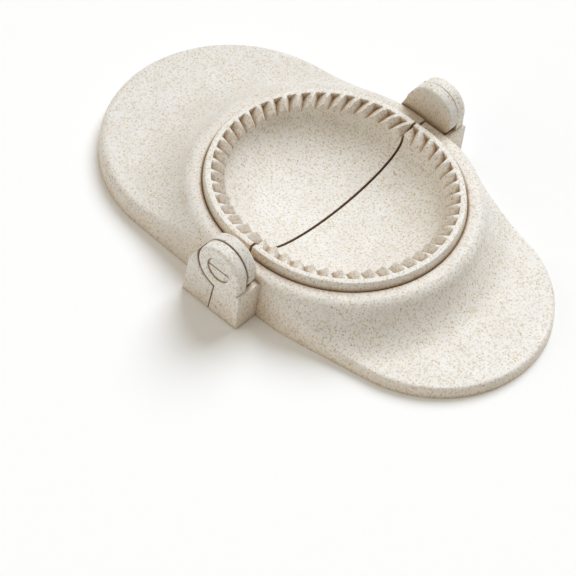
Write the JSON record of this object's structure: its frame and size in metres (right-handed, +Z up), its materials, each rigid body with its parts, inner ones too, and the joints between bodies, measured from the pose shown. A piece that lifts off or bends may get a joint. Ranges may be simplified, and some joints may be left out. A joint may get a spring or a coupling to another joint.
{
  "type": "empanada press",
  "caption": "Hinged hand press in two paddle halves that lie open flat; each has half of a round bowl with a raised lip and slanting crimping teeth, and they fold shut on two end hinges.",
  "frame": {"origin": "on the table, below the middle of the open press; the hinge line is 2.75 mm out along +X", "axes": "+X out along the front paddle, +Y along the hinge line, +Z up, with the press lying open and flat"},
  "size_m": [0.1914, 0.1214, 0.0329],
  "materials": {
    "straw_plastic": "satin-matte moulded plastic, warm off-white, with fine brown specks and straw fibres"
  },
  "bodies": {
    "rear_half": {"rear_paddle": "straw_plastic", "rear_crimp_bowl": "straw_plastic", "near_hinge_pin": "straw_plastic", "far_hinge_pin": "straw_plastic"},
    "front_half": {"front_paddle": "straw_plastic", "front_crimp_bowl": "straw_plastic"}
  },
  "joints": [
    {"name": "fold", "type": "hinge", "parent": "rear_half", "child": "front_half", "pos_m": [0.00275, 0, 0.0229], "axis": [0, -1, 0], "range_deg": [0, 180]}
  ]
}
